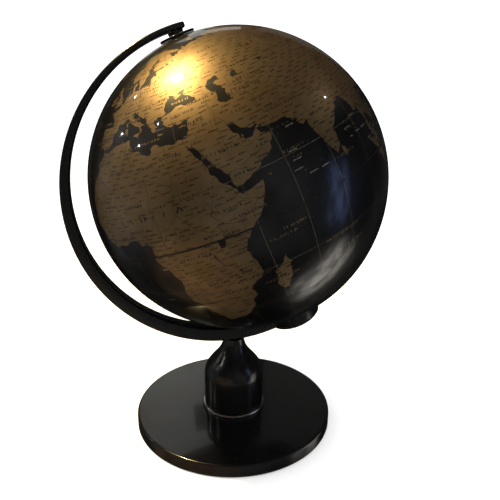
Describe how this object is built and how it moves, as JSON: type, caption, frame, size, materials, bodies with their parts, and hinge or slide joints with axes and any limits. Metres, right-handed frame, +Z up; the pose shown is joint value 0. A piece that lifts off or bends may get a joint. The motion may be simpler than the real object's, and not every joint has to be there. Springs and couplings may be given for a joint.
{
  "type": "desk terrestrial globe",
  "caption": "Desk world globe that spins on a tilted axis in a tapered black arm, with a small hour dial, on a turned column and a weighted disc base.",
  "frame": {"origin": "centre of the underside of the felt pad, on the column's axis", "axes": "+Z up; the arm lies in the XZ plane and passes on the -X side of the globe; the globe's north end leans towards -X; -Y is the side the picture was taken from"},
  "size_m": [0.2167, 0.2, 0.2816],
  "materials": {
    "black_plastic": "polished, nearly black",
    "printed_map": "metallic dark gold land on a gloss black sea, clear lacquer",
    "bright_trim": "polished",
    "steel": "zinc plated",
    "brass": "turned",
    "grey_board": "matt board",
    "nylon": "natural",
    "felt": "black felt"
  },
  "bodies": {
    "stand": {"arm": "black_plastic", "arm_insert": "brass", "base_shell": "black_plastic", "base_weight": "steel", "bottom_plate": "grey_board", "clamp_bolt": "steel", "clamp_washer": "steel", "column": "black_plastic", "felt_pad": "felt", "foot_ring": "bright_trim", "north_collar": "black_plastic", "north_pin": "steel", "plate_screw_1": "steel", "plate_screw_2": "steel", "plate_screw_3": "steel", "plate_screw_4": "steel", "south_cap": "black_plastic", "south_lock_washer": "steel", "south_nut": "steel", "south_pin": "steel", "south_spring_washer": "steel"},
    "globe": {"north_hemisphere": "printed_map", "south_hemisphere": "printed_map", "joining_ring": "grey_board", "north_bush": "brass", "south_bush": "brass", "dial_washer": "nylon", "south_thrust_washer": "nylon"},
    "hour_dial_body": {"hour_dial": "black_plastic"}
  },
  "joints": [
    {"name": "globe_spin", "type": "hinge", "parent": "stand", "child": "globe", "pos_m": [0.00385, 0, 0.18137], "axis": [-0.3987, 0, 0.9171], "continuous": true},
    {"name": "dial_turn", "type": "hinge", "parent": "stand", "child": "hour_dial_body", "pos_m": [0.00385, 0, 0.18137], "axis": [-0.3987, 0, 0.9171], "continuous": true}
  ]
}
